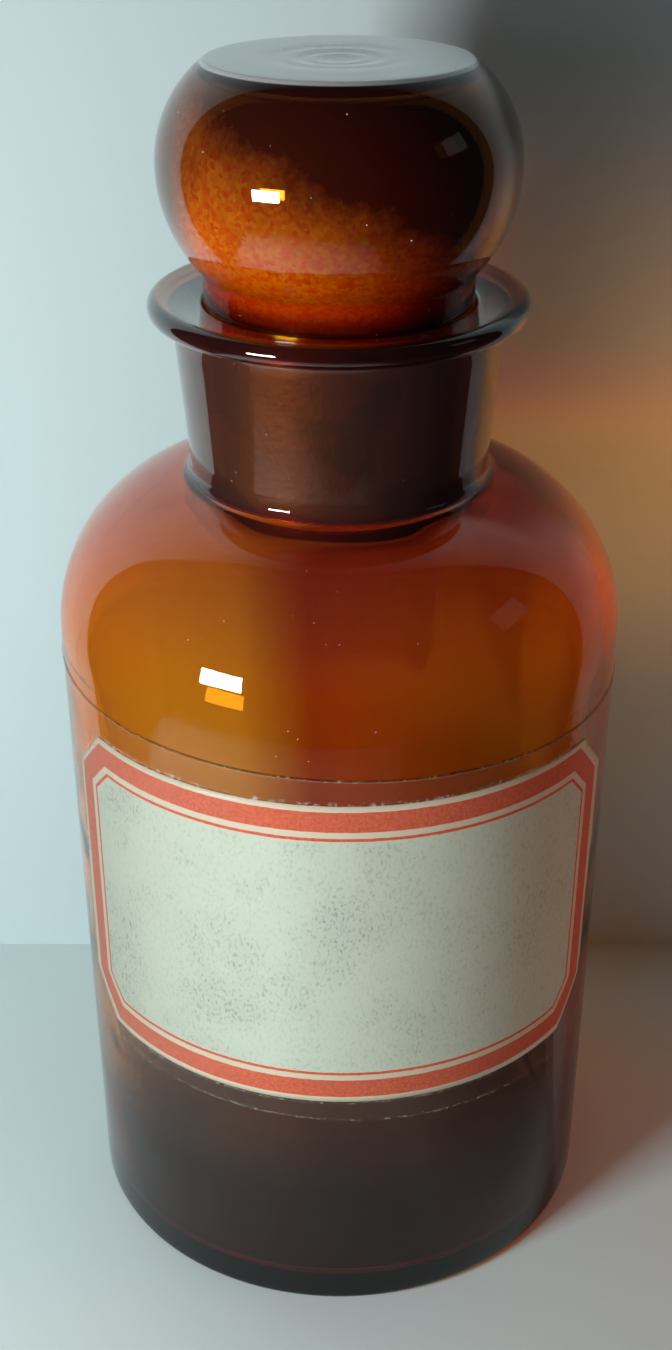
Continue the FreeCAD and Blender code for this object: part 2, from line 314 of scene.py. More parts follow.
def turn_on_lathe(piece, steps, turn=FULL_TURN):
    """Spins the whole outline round the bottle's axis and joins the seam and the poles."""
    pick(piece, lambda x, y, z: abs(x) < TOUCH)
    bpy.ops.transform.resize(value=(0, 1, 1), center_override=(0, 0, 0))
    bpy.ops.mesh.select_all(action="SELECT")
    bpy.ops.mesh.spin(
        steps=steps, angle=math.radians(turn), center=(0, 0, 0), axis=(0, 0, 1)
    )
    bpy.ops.mesh.select_all(action="SELECT")
    bpy.ops.mesh.remove_doubles(threshold=MERGE * MM)
    bpy.ops.mesh.normals_make_consistent(inside=False)


def mark_inside(piece, wanted):
    """Keeps 1 on the points of a piece's inner wall and 0 elsewhere, for its material."""
    bpy.ops.object.mode_set(mode="OBJECT")
    inside = piece.data.attributes.new("inside", "FLOAT", "POINT")
    for point, value in zip(piece.data.vertices, inside.data):
        x, y, z = point.co / MM
        value.value = float(wanted(math.hypot(x, y), z))
    bpy.ops.object.mode_set(mode="EDIT")


def finish_piece(piece, material, body, node_name):
    """Smooth shading, the material, and the piece's place in the frame."""
    bpy.ops.object.mode_set(mode="OBJECT")
    bpy.ops.object.shade_smooth()
    piece.data.materials.clear()
    piece.data.materials.append(material)
    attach(piece, body)
    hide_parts(node_name)


def linear(text):
    """An sRGB hex colour as linear red, green, blue and alpha."""
    values = [int(text[i : i + 2], 16) / 255 for i in (1, 3, 5)]
    return [
        v / 12.92 if v <= 0.04045 else ((v + 0.055) / 1.055) ** 2.4 for v in values
    ] + [1.0]


def node(tree, kind, inputs=None, out=0, **settings):
    """Adds a node with its settings, gives each input a value or a link, and returns one output."""
    made = tree.nodes.new("ShaderNode" + kind)
    for name, value in settings.items():
        setattr(made, name, value)
    for name, value in (inputs or {}).items():
        if isinstance(value, bpy.types.NodeSocket):
            tree.links.new(value, made.inputs[name])
        else:
            made.inputs[name].default_value = value
    return made.outputs[out] if made.outputs else made


def new_material(name):
    """An empty node material."""
    material = bpy.data.materials.new(name)
    material.use_nodes = True
    material.node_tree.nodes.clear()
    return material, material.node_tree


def places(tree, z=0.0, lean=0.0):
    """A point's place in millimetres from a height on the axis, along sides that lean to the right."""
    return node(
        tree,
        "Mapping",
        {
            "Vector": node(tree, "TexCoord", out="Object"),
            "Location": (0, 0, z * MM),
            "Rotation": (0, math.radians(lean), 0),
            "Scale": (MM, MM, MM),
        },
        vector_type="TEXTURE",
    )


def places_on_glass(tree):
    """A point's place in millimetres, its height and its distance from the axis."""
    place = places(tree)
    height = node(tree, "SeparateXYZ", {0: place}, out="Z")
    flat = node(tree, "VectorMath", {0: place, 1: (1, 1, 0)}, operation="MULTIPLY")
    radius = node(tree, "VectorMath", {0: flat}, out="Value", operation="LENGTH")
    return place, height, radius


def ground_band(tree, height, radius, radii, heights):
    """1 on the ground face between two heights, on one side of a radius, and 0 elsewhere."""
    ring = node(tree, "MapRange", {"Value": radius, "From Min": radii[0], "From Max": radii[1]})
    above = node(
        tree,
        "MapRange",
        {"Value": height, "From Min": heights[0], "From Max": heights[0] + GROUND_FADE},
    )
    below = node(
        tree,
        "MapRange",
        {"Value": height, "From Min": heights[1], "From Max": heights[1] - GROUND_FADE},
    )
    band = node(tree, "Math", {0: above, 1: below}, operation="MULTIPLY")
    return node(tree, "Math", {0: band, 1: ring}, operation="MULTIPLY")


def dust(tree, place):
    """Sparse specks of dust, a quarter of a millimetre across: 1 in a speck and 0 elsewhere."""
    far = node(tree, "TexVoronoi", {"Vector": place, "Scale": 1 / DUST_CELL}, out="Distance")
    return node(
        tree,
        "MapRange",
        {"Value": far, "From Min": DUST_R / DUST_CELL, "From Max": 0.5 * DUST_R / DUST_CELL},
    )


def relief(tree, place, ground):
    """The surface's normal: slow waves of blown glass everywhere and the grit's grain where ground."""
    wave = node(tree, "TexNoise", {"Vector": place, "Scale": 1 / WAVE, "Detail": 1.0})
    waved = node(tree, "Bump", {"Strength": 1.0, "Distance": WAVE_DEPTH * MM, "Height": wave})
    grain = node(tree, "TexNoise", {"Vector": place, "Scale": 1 / GRAIN, "Detail": 2.0})
    return node(
        tree,
        "Bump",
        {"Strength": ground, "Distance": GRAIN_DEPTH * MM, "Height": grain, "Normal": waved},
    )


def melt(tree, surface, entering, leaving):
    """Joins a glass surface with its amber; lamps' light passes, tinted as it enters and as it leaves."""
    from_inside = node(tree, "NewGeometry", out="Backfacing")
    passing = node(
        tree, "Mix", {0: from_inside, FIRST: entering, SECOND: leaving}, out=MIXED, data_type="RGBA"
    )
    clear = node(tree, "BsdfTransparent", {"Color": passing})
    lamp = node(tree, "LightPath", out="Is Shadow Ray")
    either = node(tree, "MixShader", {0: lamp, 1: surface, 2: clear})
    amber = node(tree, "VolumeAbsorption", {"Color": AMBER, "Density": AMBER_DENSITY})
    node(tree, "OutputMaterial", {"Surface": either, "Volume": amber})


# Amber glass, mould-blown and fire-polished: a smooth wet gloss outside, slow waves in what shows
# through, gold where thin and red-brown where thick, because it takes out blue first and then green.
# It is painted darker, as shade, at the foot, at the lip and, more on the right, round the shoulder's
# top. From there up hands have left a faint haze. The bore is ground to a frost with wet blotches, its
# dark grey a painted shade.
def blown_amber_glass():
    material, tree = new_material("amber glass, blown")
    place, height, radius = places_on_glass(tree)
    sideways = node(tree, "SeparateXYZ", {0: place}, out="X")
    across = node(tree, "MapRange", {"Value": sideways, "From Min": ACROSS[0], "From Max": ACROSS[1]})
    low = node(tree, "MapRange", {"Value": height, "From Min": FOOT_SHADE[0], "From Max": FOOT_SHADE[1]})
    high = node(tree, "MapRange", {"Value": height, "From Min": LIP_SHADE_AND_COAT[0], "From Max": LIP_SHADE_AND_COAT[1]})
    neck = node(
        tree,
        "MapRange",
        {
            "Value": height,
            "From Min": NECK_SHADE_HAZE_COAT[0],
            "From Max": NECK_SHADE_HAZE_COAT[1],
            "To Max": NECK_SHADE_HAZE_COAT_SHARE,
        },
    )
    ground = ground_band(tree, height, radius, BORE_RADII, BORE_HEIGHTS)
    specks = node(tree, "Math", {0: dust(tree, place), 1: SPECK_COVER}, operation="MULTIPLY")
    frosted = node(tree, "Math", {0: ground, 1: BORE_COVER}, operation="MULTIPLY")
    haze = node(tree, "Math", {0: neck, 1: HAZE_COVER}, operation="MULTIPLY")
    dulled = node(tree, "Math", {0: specks, 1: haze}, operation="MAXIMUM")
    hidden = node(tree, "Math", {0: frosted, 1: dulled}, operation="MAXIMUM")
    # Painted shade: the glass's tone darkens at the foot, at the lip and round the shoulder's top, more on
    # the right.
    below_neck = node(
        tree, "MapRange", {"Value": height, "From Min": SHOULDER_END[0], "From Max": SHOULDER_END[1]}
    )
    shade_across_factor = node(tree, "MapRange", {"Value": across, "To Min": SHADE_ACROSS[0], "To Max": SHADE_ACROSS[1]})
    neck_shade = node(tree, "Math", {0: neck, 1: shade_across_factor}, operation="MULTIPLY")
    shoulder = node(tree, "Math", {0: neck_shade, 1: below_neck}, operation="MULTIPLY")
    ends = node(tree, "Math", {0: low, 1: high}, operation="MAXIMUM")
    painted_shade = node(tree, "Math", {0: ends, 1: shoulder}, operation="MAXIMUM")
    painted_lighting = node(
        tree, "Mix", {0: painted_shade, FIRST: CLEAR, SECOND: linear("#7a4a3e")}, out=MIXED, data_type="RGBA"
    )
    # Painted shade: the bore's frost is dark grey for the unlit inside of the neck; its wet blotches are
    # darker still.
    blotch = node(tree, "TexNoise", {"Vector": place, "Scale": 1 / FROST_BLOTCH, "Detail": 2.0})
    wetted = node(tree, "MapRange", {"Value": blotch, "From Min": 0.5, "From Max": 0.56})
    shaded_frost = node(
        tree,
        "Mix",
        {0: wetted, FIRST: linear("#3d2c30"), SECOND: linear("#2a1a1c")},
        out=MIXED,
        data_type="RGBA",
    )
    tone = node(tree, "Mix", {0: ground, FIRST: painted_lighting, SECOND: shaded_frost}, out=MIXED, data_type="RGBA")
    surface = node(
        tree,
        "BsdfPrincipled",
        {
            "Base Color": tone,
            "Roughness": node(tree, "Math", {0: ground, 1: BORE_ROUGHNESS}, operation="MULTIPLY"),
            "IOR": GLASS_IOR,
            "Transmission Weight": node(tree, "Math", {0: 1.0, 1: hidden}, operation="SUBTRACT"),
            "Normal": relief(tree, place, ground),
            "Coat Weight": node(tree, "Math", {0: neck, 1: high}, operation="MAXIMUM"),
            "Coat Roughness": GLOSS_ROUGHNESS,
        },
    )
    side = node(tree, "Mix", {0: across, FIRST: LIT_LEFT, SECOND: LIT_RIGHT}, out=MIXED, data_type="RGBA")
    upper = node(
        tree,
        "MapRange",
        {"Value": height, "From Min": LIT_ABOVE_HEIGHTS[0], "From Max": LIT_ABOVE_HEIGHTS[1]},
    )
    bright = node(tree, "Mix", {0: upper, FIRST: side, SECOND: LIT_ABOVE}, out=MIXED, data_type="RGBA")
    entering = node(tree, "Mix", {0: low, FIRST: bright, SECOND: LIT_FOOT}, out=MIXED, data_type="RGBA")
    melt(tree, surface, entering, CLEAR)
    return material


# The stopper is the same glass, ground on its plug. Inside the hollow knob dried dust of the contents
# clings to the wall; low on one side it is painted pale orange as a pool of light, elsewhere dark as
# painted shade; the flat top is dusty.
def stopper_glass():
    material, tree = new_material("amber glass, stopper")
    place, height, radius = places_on_glass(tree)
    sideways = node(tree, "SeparateXYZ", {0: place}, out="X")
    inside = node(tree, "Attribute", out="Fac", attribute_name="inside")
    ground = ground_band(tree, height, radius, PLUG_RADII, PLUG_HEIGHTS)
    # Painted light: the residue is pale orange in a sloping patch low on one side, and dark, as painted
    # shade, elsewhere.
    tilted = node(tree, "Math", {0: sideways, 1: LIT_PATCH_SLOPE, 2: height}, operation="MULTIPLY_ADD")
    cloud = node(
        tree, "TexNoise", {"Vector": place, "Scale": 1 / CLOUD, "Detail": 8.0, "Roughness": 0.7}
    )
    level = node(tree, "Math", {0: cloud, 1: CLOUD_RISE, 2: tilted}, operation="MULTIPLY_ADD")
    lit_patch = node(
        tree, "MapRange", {"Value": level, "From Min": LIT_PATCH_LEVEL[0], "From Max": LIT_PATCH_LEVEL[1]}
    )
    lit_patch_left_edge = node(
        tree, "MapRange", {"Value": sideways, "From Min": LIT_PATCH_SIDE[0], "From Max": LIT_PATCH_SIDE[1]}
    )
    in_knob = node(
        tree, "MapRange", {"Value": height, "From Min": LIT_PATCH_FLOOR[0], "From Max": LIT_PATCH_FLOOR[1]}
    )
    low = node(tree, "Math", {0: lit_patch, 1: in_knob}, operation="MULTIPLY")
    painted_lighting = node(tree, "Math", {0: low, 1: lit_patch_left_edge}, operation="MULTIPLY")
    crumb = node(tree, "TexVoronoi", {"Vector": place, "Scale": 1 / CRUMB, "Randomness": 1.0}, out="Color")
    crumb_tone = node(tree, "SeparateColor", {0: crumb})
    pale = node(
        tree,
        "Mix",
        {0: crumb_tone, FIRST: linear("#ee8426"), SECOND: linear("#ffe29a")},
        out=MIXED,
        data_type="RGBA",
    )
    # The residue's colour: painted shade where dark, painted light where pale, with crumbs of grain in the
    # pale.
    lit_and_shaded_residue = node(
        tree, "Mix", {0: painted_lighting, FIRST: linear("#43190f"), SECOND: pale}, out=MIXED, data_type="RGBA"
    )
    on_top = node(tree, "MapRange", {"Value": height, "From Min": DUSTY_TOP[0], "From Max": DUSTY_TOP[1]})
    coat = node(tree, "Math", {0: inside, 1: RESIDUE_COVER}, operation="MULTIPLY")
    veil = node(tree, "Math", {0: on_top, 1: DUSTY_TOP_COVER}, operation="MULTIPLY")
    covered = node(tree, "Math", {0: coat, 1: veil}, operation="MAXIMUM")
    hidden = node(tree, "Math", {0: covered, 1: dust(tree, place)}, operation="MAXIMUM")
    # The stopper's glass is tinted darker towards the waist.
    waist = node(
        tree, "MapRange", {"Value": height, "From Min": DARKER_WAIST[0], "From Max": DARKER_WAIST[1]}
    )
    glass = node(
        tree, "Mix", {0: waist, FIRST: CLEAR, SECOND: linear("#b08a7a")}, out=MIXED, data_type="RGBA"
    )
    tone = node(tree, "Mix", {0: inside, FIRST: glass, SECOND: lit_and_shaded_residue}, out=MIXED, data_type="RGBA")
    dull = node(tree, "Math", {0: ground, 1: PLUG_ROUGHNESS}, operation="MULTIPLY")
    dull_top = node(tree, "Math", {0: on_top, 1: DUSTY_TOP_ROUGHNESS, 2: dull}, operation="MULTIPLY_ADD")
    surface = node(
        tree,
        "BsdfPrincipled",
        {
            "Base Color": tone,
            "Roughness": dull_top,
            "IOR": GLASS_IOR,
            "Transmission Weight": node(tree, "Math", {0: 1.0, 1: hidden}, operation="SUBTRACT"),
            "Normal": relief(tree, place, ground),
            "Coat Weight": node(tree, "MapRange", {"Value": on_top, "To Min": 0.45, "To Max": 1.0}),
            "Coat Roughness": GLOSS_ROUGHNESS,
        },
    )
    underside = node(
        tree,
        "MapRange",
        {"Value": height, "From Min": LIT_UNDERSIDE_HEIGHTS[0], "From Max": LIT_UNDERSIDE_HEIGHTS[1]},
    )
    entering = node(
        tree, "Mix", {0: underside, FIRST: LIT_KNOB, SECOND: LIT_UNDERSIDE}, out=MIXED, data_type="RGBA"
    )
    leaving = node(
        tree, "Mix", {0: inside, FIRST: CLEAR, SECOND: PAST_RESIDUE}, out=MIXED, data_type="RGBA"
    )
    melt(tree, surface, entering, leaving)
    return material


def from_label_edge(tree, place):
    """How far inside the label's clipped outline a point lies, in millimetres along the surface."""
    parts = node(tree, "SeparateXYZ", {0: place}).node.outputs
    front = node(tree, "Math", {0: parts["Y"], 1: -1.0}, operation="MULTIPLY")
    angle = node(tree, "Math", {0: parts["X"], 1: front}, operation="ARCTAN2")
    along = node(tree, "Math", {0: angle, 1: LABEL_OUTER_R}, operation="MULTIPLY")
    across = node(tree, "Math", {0: along}, operation="ABSOLUTE")
    upward = node(tree, "Math", {0: parts["Z"]}, operation="ABSOLUTE")
    to_side = node(tree, "Math", {0: LABEL_HALF_WIDTH, 1: across}, operation="SUBTRACT")
    to_top = node(tree, "Math", {0: LABEL_HALF_HEIGHT, 1: upward}, operation="SUBTRACT")
    both = node(tree, "Math", {0: to_side, 1: to_top}, operation="ADD")
    corner = node(tree, "Math", {0: both, 1: LABEL_CHAMFER}, operation="SUBTRACT")
    to_corner = node(tree, "Math", {0: corner, 1: math.sqrt(0.5)}, operation="MULTIPLY")
    nearest = node(tree, "Math", {0: to_side, 1: to_top}, operation="MINIMUM")
    return node(tree, "Math", {0: nearest, 1: to_corner}, operation="MINIMUM")


# Label paper, letterpress printed and aged: a matt greenish white with grey smudges and fine fibres,
# greyer at the left from painted shade, a red border whose ink lies unevenly, and the low gloss of
# the film pressed on it.
def printed_paper():
    material, tree = new_material("label paper, letterpress printed")
    place = places(tree, LABEL_MIDDLE_Z, LABEL_LEAN)
    edge = from_label_edge(tree, place)
    wobble = node(tree, "TexNoise", {"Vector": place, "Scale": 1 / INK_WOBBLE, "Detail": 2.0})
    printed = node(tree, "Math", {0: wobble, 1: INK_WOBBLE_DEPTH, 2: edge}, operation="MULTIPLY_ADD")
    share = node(tree, "Math", {0: printed, 1: 1 / BORDER_RANGE}, operation="MULTIPLY")
    ink = node(tree, "ValToRGB", {"Fac": share})
    stops = ink.node.color_ramp.elements
    ink.node.color_ramp.interpolation = "CONSTANT"
    stops.remove(stops[1])
    stops[0].position = 0.0
    stops[0].color = (0, 0, 0, 1)
    for distance, inked in BORDER:
        stop = stops.new(distance / BORDER_RANGE)
        stop.color = (inked, inked, inked, 1)
    body = node(tree, "MapRange", {"Value": edge, "From Min": FIELD[0], "From Max": FIELD[1]})
    stain = node(
        tree, "TexNoise", {"Vector": place, "Scale": 1 / STAIN, "Detail": 6.0, "Roughness": 0.62}
    )
    smudge = node(tree, "MapRange", {"Value": stain, "From Min": 0.46, "From Max": 0.74})
    rubbed = node(
        tree,
        "Mapping",
        {
            "Vector": place,
            "Rotation": (0, math.radians(FLECK_TURN), 0),
            "Scale": [1 / size for size in FLECK],
        },
    )
    flecks = node(tree, "TexNoise", {"Vector": rubbed, "Scale": 1.0, "Detail": 4.0, "Roughness": 0.6})
    fleck = node(tree, "MapRange", {"Value": flecks, "From Min": 0.52, "From Max": 0.68})
    pepper = node(tree, "TexVoronoi", {"Vector": place, "Scale": 1 / PEPPER}, out="Distance")
    speck = node(tree, "MapRange", {"Value": pepper, "From Min": 0.13, "From Max": 0.07})
    spots = node(tree, "Math", {0: fleck, 1: speck}, operation="MAXIMUM")
    sideways = node(tree, "SeparateXYZ", {0: place}, out="X")
    thumbed = node(
        tree,
        "MapRange",
        {
            "Value": sideways,
            "From Min": THUMBED[0],
            "From Max": THUMBED[1],
            "To Min": 0.5,
            "To Max": 1.25,
        },
    )
    cloud = node(tree, "Math", {0: smudge, 1: thumbed}, operation="MULTIPLY")
    soil = node(tree, "Math", {0: cloud, 1: SPOTS_IN_SMUDGE, 2: SPOTS_ALONE}, operation="MULTIPLY_ADD")
    dirt = node(tree, "Math", {0: soil, 1: spots}, operation="MULTIPLY")
    grey = node(tree, "Math", {0: cloud, 1: SMUDGE_ALONE, 2: dirt}, operation="MULTIPLY_ADD")
    dirty = node(tree, "Math", {0: grey, 1: body}, operation="MULTIPLY")
    sheet = node(
        tree,
        "Mix",
        {0: body, FIRST: linear("#dccfb6"), SECOND: linear("#cbd6c4")},
        out=MIXED,
        data_type="RGBA",
    )
    soiled = node(
        tree, "Mix", {0: dirty, FIRST: sheet, SECOND: linear("#76817d")}, out=MIXED, data_type="RGBA"
    )
    mottle = node(tree, "TexNoise", {"Vector": place, "Scale": 1 / FIBRE, "Detail": 3.0})
    worn = node(tree, "MapRange", {"Value": mottle, "From Min": 0.3, "From Max": 0.7})
    red = node(
        tree,
        "Mix",
        {0: worn, FIRST: linear("#c94f33"), SECOND: linear("#de6d49")},
        out=MIXED,
        data_type="RGBA",
    )
    clean = node(tree, "Mix", {0: ink, FIRST: soiled, SECOND: red}, out=MIXED, data_type="RGBA")
    # Painted shade: the paper greys towards its left edge.
    left_shade = node(
        tree,
        "MapRange",
        {"Value": sideways, "From Min": LEFT_SHADE[0], "From Max": LEFT_SHADE[1], "To Max": 0.5},
    )
    colour = node(
        tree, "Mix", {0: left_shade, FIRST: clean, SECOND: linear("#585850")}, out=MIXED, data_type="RGBA"
    )
    fibre = node(tree, "Bump", {"Strength": 0.3, "Distance": FIBRE_DEPTH * MM, "Height": mottle})
    paper = node(
        tree,
        "BsdfPrincipled",
        {
            "Base Color": colour,
            "Roughness": 0.65,
            "Normal": fibre,
            "Specular IOR Level": 0.3,
            "Coat Weight": 0.2,
            "Coat Roughness": 0.25,
        },
    )
    node(tree, "OutputMaterial", {"Surface": paper})
    return material


# Clear vinyl film, self-adhesive: nearly invisible on the glass, a trace of haze, dirt caught along
# its two cut edges, and where it lifts over the label's edge a broken pale line painted as its highlight.
def clear_film():
    material, tree = new_material("clear vinyl film")
    place = places(tree, FILM_BOTTOM_Z, FILM_LEAN)
    parts = node(tree, "SeparateXYZ", {0: place}).node.outputs
    front = node(
        tree, "MapRange", {"Value": parts["Y"], "From Min": FILM_FRONT[0], "From Max": FILM_FRONT[1]}
    )
    to_top = node(tree, "Math", {0: FILM_HEIGHT, 1: parts["Z"]}, operation="SUBTRACT")
    top_line = node(tree, "MapRange", {"Value": to_top, "From Min": TOP_LINE[0], "From Max": TOP_LINE[1]})
    low_line = node(
        tree, "MapRange", {"Value": parts["Z"], "From Min": LOW_LINE[0], "From Max": LOW_LINE[1]}
    )
    grit = node(tree, "TexNoise", {"Vector": place, "Scale": 1 / FILM_GRIT, "Detail": 3.0})
    caught = node(tree, "MapRange", {"Value": grit, "From Min": 0.5, "From Max": 0.68})
    top_dirt = node(
        tree, "Math", {0: caught, 1: TOP_LINE_GRIT, 2: TOP_LINE_LEAST}, operation="MULTIPLY_ADD"
    )
    top_alpha = node(tree, "Math", {0: top_line, 1: top_dirt}, operation="MULTIPLY")
    low_dirt = node(tree, "Math", {0: caught, 1: LOW_LINE_GRIT}, operation="MULTIPLY")
    low_alpha = node(tree, "Math", {0: low_line, 1: low_dirt}, operation="MULTIPLY")
    both = node(tree, "Math", {0: top_alpha, 1: low_alpha}, operation="MAXIMUM")
    edges = node(tree, "Math", {0: both, 1: front}, operation="MULTIPLY")
    outside = from_label_edge(tree, places(tree, LABEL_MIDDLE_Z, LABEL_LEAN))
    # Painted highlight: a broken pale line just outside the label's edge, where the film lifts.
    near = node(
        tree, "MapRange", {"Value": outside, "From Min": TENT_HIGHLIGHT_OUTER[0], "From Max": TENT_HIGHLIGHT_OUTER[1]}
    )
    beyond = node(
        tree, "MapRange", {"Value": outside, "From Min": TENT_HIGHLIGHT_INNER[0], "From Max": TENT_HIGHLIGHT_INNER[1]}
    )
    tent_highlight = node(tree, "Math", {0: near, 1: beyond}, operation="MULTIPLY")
    tent_highlight_alpha = node(tree, "Math", {0: tent_highlight, 1: low_dirt}, operation="MULTIPLY")
    marks = node(tree, "Math", {0: edges, 1: tent_highlight_alpha}, operation="MAXIMUM")
    alpha = node(tree, "Math", {0: marks, 1: FILM_HAZE}, operation="MAXIMUM")
    grime = node(
        tree,
        "Mix",
        {0: caught, FIRST: linear("#241006"), SECOND: linear("#a8824e")},
        out=MIXED,
        data_type="RGBA",
    )
    colour = node(
        tree, "Mix", {0: top_line, FIRST: linear("#e8e6de"), SECOND: grime}, out=MIXED, data_type="RGBA"
    )
    film = node(
        tree, "BsdfPrincipled", {"Base Color": colour, "Roughness": 0.2, "Alpha": alpha}
    )
    node(tree, "OutputMaterial", {"Surface": film})
    return material


def make_bottle():
    """The bottle, drawn from under the base round the foot, up to the lip, and down inside."""
    bottle = start_outline("bottle_glass", (0.0, PUSH_UP))
    push_turn = math.degrees(math.asin(RING_INNER_R / (PUSH_UP - PUSH_CENTRE[1])))
    draw_arc(PUSH_CENTRE, -push_turn, steps=10)
    foot = (BODY_R, 0.0)
    draw_line((RING_INNER_R, 0.0), foot)
    draw_line(foot, (BODY_R, SHOULDER_CENTRE[1]), runs=36)
    draw_arc(SHOULDER_CENTRE, degrees_at(SHOULDER_CENTRE, NECK_FOOT), steps=16)
    draw_line(NECK_FOOT, NECK_TOP, runs=8)
    draw_line(NECK_TOP, LIP_UNDER)
    draw_arc(RIM_CENTRE, RIM_TURN, steps=16)
    draw_line(DISH, MOUTH, runs=4)
    draw_line(MOUTH, BORE_END, runs=10)
    draw_arc(INNER_SHOULDER_CENTRE, -degrees_at(INNER_SHOULDER_CENTRE, BORE_END), steps=16)
    inner_foot = (BODY_INNER_R, INNER_FOOT_Z)
    draw_line((BODY_INNER_R, INNER_SHOULDER_CENTRE[1]), inner_foot, runs=17)
    inner_turn = math.degrees(math.asin(BODY_INNER_R / (BASE_TOP - PUSH_CENTRE[1])))
    draw_arc(PUSH_CENTRE, inner_turn, steps=6)
    for place, radius in (
        (foot, FOOT_ROUND),
        (NECK_FOOT, NECK_ROUND),
        (NECK_TOP, LIP_ROUND),
        (MOUTH, MOUTH_ROUND),
        (BORE_END, BORE_ROUND),
        (inner_foot, INNER_FOOT_ROUND),
    ):
        round_corner(bottle, place, radius)
    turn_on_lathe(bottle, steps=256)
    return bottle


def in_hollow(radius, z):
    """Whether a point at a distance from the axis and a height lies on the stopper's inner wall."""
    if z < WAIST_INNER[1]:
        return radius < PLUG_INNER_TOP[0] + PLUG_INNER_SLACK
    centre = LOWER_CENTRE if z < LOWER_CENTRE[1] else UPPER_CENTRE
    under_top = z < KNOB_TOP_Z - KNOB_WALL_INSIDE
    return under_top and math.dist((radius, z), centre) < KNOB_R - centre[0] - KNOB_WALL_INSIDE


def make_stopper():
    """The stopper, drawn from the middle of its top round the knob, down the plug, and up inside."""
    ripple = (0.0, KNOB_TOP_Z - DIMPLE_DEPTH)
    stopper = start_outline("stopper_glass", ripple)
    for place in TOP_RIPPLES:
        draw_line(ripple, place, runs=2)
        ripple = place
    draw_line(ripple, TOP_EDGE, runs=4)
    draw_arc(UPPER_CENTRE, -degrees_at(UPPER_CENTRE, TOP_EDGE), steps=12)
    draw_arc(LOWER_CENTRE, degrees_at(LOWER_CENTRE, WAIST), steps=8)
    draw_line(WAIST, PLUG_TOP, runs=2)
    draw_line(PLUG_TOP, PLUG_END, runs=9)
    draw_line(PLUG_END, PLUG_INNER_END)
    draw_line(PLUG_INNER_END, PLUG_INNER_TOP, runs=9)
    draw_line(PLUG_INNER_TOP, WAIST_INNER, runs=2)
    draw_arc(LOWER_CENTRE, -degrees_at(LOWER_CENTRE, WAIST_INNER), steps=8)
    draw_arc(UPPER_CENTRE, degrees_at(UPPER_CENTRE, TOP_INNER_EDGE), steps=8)
    draw_line(TOP_INNER_EDGE, (0.0, TOP_INNER_EDGE[1]), runs=8)
    for place, radius in (
        (TOP_EDGE, TOP_EDGE_ROUND),
        (WAIST, WAIST_ROUND),
        (PLUG_END, PLUG_ROUND),
        (TOP_INNER_EDGE, TOP_INNER_ROUND),
    ):
        round_corner(stopper, place, radius)
    turn_on_lathe(stopper, steps=224)
    mark_inside(stopper, in_hollow)
    return stopper


def leaning(lean):
    """The sideways and upward directions of something that leans to the right, as unit vectors."""
    turn = math.radians(lean)
    return (math.cos(turn), 0, -math.sin(turn)), (math.sin(turn), 0, math.cos(turn))


def label_planes(margin):
    """The planes round the label's outline, moved out by a margin along the surface."""
    side, up = leaning(LABEL_LEAN)
    wide = LABEL_OUTER_R * math.sin((LABEL_HALF_WIDTH + margin) / LABEL_OUTER_R)
    narrow = LABEL_OUTER_R * math.sin((LABEL_HALF_WIDTH + margin - LABEL_CHAMFER) / LABEL_OUTER_R)
    tall = LABEL_HALF_HEIGHT + margin
    planes = []
    for way in (1, -1):
        planes.append((way * wide, 0.0, (way, 0.0)))
        planes.append((0.0, way * tall, (0.0, way)))
        for height in (1, -1):
            slanted = (way * LABEL_CHAMFER, height * (wide - narrow))
            planes.append((way * wide, height * (tall - LABEL_CHAMFER), slanted))
    cuts = []
    for across, upward, normal in planes:
        point = [across * s + upward * u for s, u in zip(side, up)]
        point[2] += LABEL_MIDDLE_Z
        facing = Vector([normal[0] * s + normal[1] * u for s, u in zip(side, up)])
        cuts.append(([p * MM for p in point], facing.normalized()))
    return cuts


def cut_away(point, facing):
    """Cuts the whole piece with a plane and clears what lies on the side it faces."""
    bpy.ops.mesh.select_all(action="SELECT")
    bpy.ops.mesh.bisect(plane_co=point, plane_no=facing, clear_outer=True)


def face_outwards(piece):
    """Turns an open sheet's faces away from the bottle's axis."""
    bpy.ops.object.mode_set(mode="OBJECT")
    face = piece.data.polygons[0]
    inward = face.normal.x * face.center.x + face.normal.y * face.center.y < 0
    bpy.ops.object.mode_set(mode="EDIT")
    if inward:
        bpy.ops.mesh.select_all(action="SELECT")
        bpy.ops.mesh.flip_normals()


def thicken(piece, thickness):
    """Gives a sheet its thickness, outwards, and applies it."""
    bpy.ops.object.mode_set(mode="OBJECT")
    wall = piece.modifiers.new("thickness", "SOLIDIFY")
    wall.thickness = thickness * MM
    wall.offset = 1.0
    bpy.ops.object.modifier_apply(modifier=wall.name)
    bpy.ops.object.mode_set(mode="EDIT")


def make_label():
    """The label, a half drum cut to its leaning outline with clipped corners."""
    low = (LABEL_R, LABEL_MIDDLE_Z - LABEL_HALF_HEIGHT - LABEL_SPARE)
    high = (LABEL_R, LABEL_MIDDLE_Z + LABEL_HALF_HEIGHT + LABEL_SPARE)
    label = start_outline("label", low)
    draw_line(low, high, runs=40)
    turn_on_lathe(label, steps=180, turn=HALF_TURN)
    for point, facing in label_planes(0.0):
        cut_away(point, facing)
    face_outwards(label)
    thicken(label, LABEL_THICKNESS)
    return label


